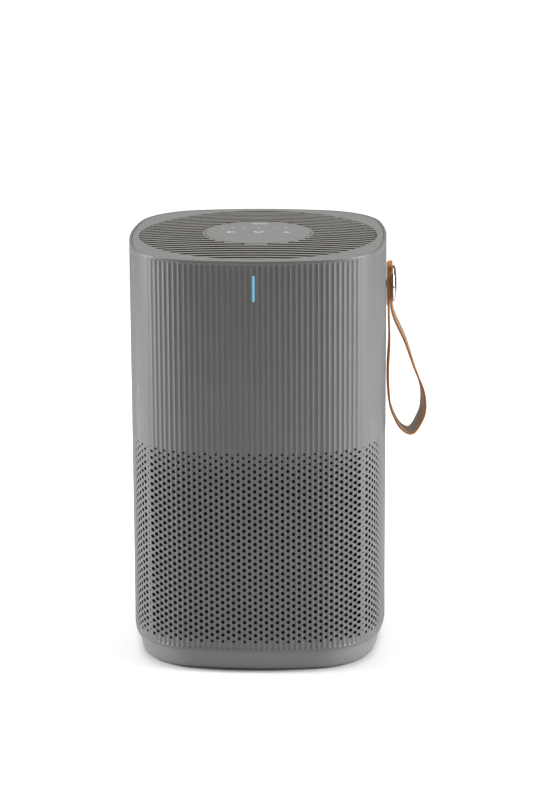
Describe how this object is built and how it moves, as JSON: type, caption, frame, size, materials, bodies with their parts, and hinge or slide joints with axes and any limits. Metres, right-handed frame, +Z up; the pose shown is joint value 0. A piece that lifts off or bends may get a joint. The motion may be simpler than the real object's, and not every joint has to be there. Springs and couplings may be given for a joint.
{
  "type": "air purifier",
  "caption": "Square tabletop air purifier with a fluted perforated shell, round slatted outlet, touch disc, light bar and leather carrying strap.",
  "frame": {"origin": "centre of the base on the surface it stands on", "axes": "+Z up, -Y front, +X the side with the carrying strap"},
  "size_m": [0.2522, 0.218, 0.3588],
  "materials": {
    "shell": "satin",
    "trim": "satin",
    "grille": "satin",
    "disc": "soft gloss",
    "light": "translucent",
    "base": "matt",
    "rubber": "matt",
    "leather": "smooth tan",
    "leather_back": "dark back",
    "chrome": "polished",
    "steel": "plain",
    "inner_plastic": "black moulding",
    "fan_plastic": "black moulding",
    "board": "circuit board",
    "components": "electronics",
    "stator": "laminated steel and copper",
    "magnet": "ferrite",
    "brass": "turned",
    "media": "pleated filter paper",
    "carbon": "carbon-loaded mesh",
    "mesh": "black pre-filter net",
    "filter_cap": "white end cap",
    "tab": "woven ribbon"
  },
  "bodies": {
    "housing": {"outer_shell": "shell", "top_ring": "trim", "outlet_grille": "grille", "control_disc": "disc", "status_light": "light", "status_light_board": "board", "base_plinth": "base", "foot_ring": "rubber", "base_screws": "steel", "power_inlet": "components", "fan_deck": "inner_plastic", "inlet_guard": "inner_plastic", "guard_ring_inner": "inner_plastic", "guard_ring_middle": "inner_plastic", "guard_ring_outer": "inner_plastic", "guard_spokes": "inner_plastic", "fan_duct": "inner_plastic", "duct_riser": "inner_plastic", "duct_collar": "inner_plastic", "inlet_bell": "inner_plastic", "board_rails": "inner_plastic", "deck_screws": "steel", "ring_screws": "steel", "motor_bracket": "inner_plastic", "bracket_screws": "steel", "motor_cover": "inner_plastic", "motor_stator": "stator", "motor_board": "board", "bearing_tube": "brass", "lower_bearing": "steel", "upper_bearing": "steel", "main_board": "board", "board_screws": "steel", "board_components": "components", "particle_sensor": "components", "control_housing": "inner_plastic", "control_board": "board", "touch_pads": "rubber", "housing_screws": "steel", "strap_stud": "steel", "strap_washer": "steel", "strap_nut": "steel", "frame_post_rear_right": "inner_plastic", "frame_post_rear_left": "inner_plastic", "frame_post_front_left": "inner_plastic", "frame_post_front_right": "inner_plastic"},
    "fan_rotor": {"impeller": "fan_plastic", "impeller_shroud": "fan_plastic", "rotor_can": "steel", "rotor_magnets": "magnet", "motor_shaft": "steel", "impeller_nut": "steel", "shaft_clip": "steel"},
    "filter_unit": {"filter_door": "base", "filter_media": "media", "carbon_layer": "carbon", "prefilter_mesh": "mesh", "filter_top_cap": "filter_cap", "filter_bottom_cap": "filter_cap", "filter_seal": "rubber", "filter_pull_tab": "tab"},
    "strap_root": {"strap_stack": "leather", "strap_patch": "leather_back", "strap_button": "chrome"},
    "strap_loop": {"strap_loop": "leather"}
  },
  "joints": [
    {"name": "fan_spin", "type": "hinge", "parent": "housing", "child": "fan_rotor", "pos_m": [0, 0, 0.25], "axis": [0, 0, 1], "continuous": true},
    {"name": "filter_drop", "type": "slide", "parent": "housing", "child": "filter_unit", "axis": [0, 0, -1], "range_m": [0, 0.2]},
    {"name": "strap_swivel", "type": "hinge", "parent": "housing", "child": "strap_root", "pos_m": [0.1123, 0, 0.3136], "axis": [1, 0, 0], "continuous": true},
    {"name": "strap_lift", "type": "hinge", "parent": "strap_root", "child": "strap_loop", "pos_m": [0.1145, 0, 0.2965], "axis": [0, -1, 0], "range_deg": [0, 80]}
  ]
}
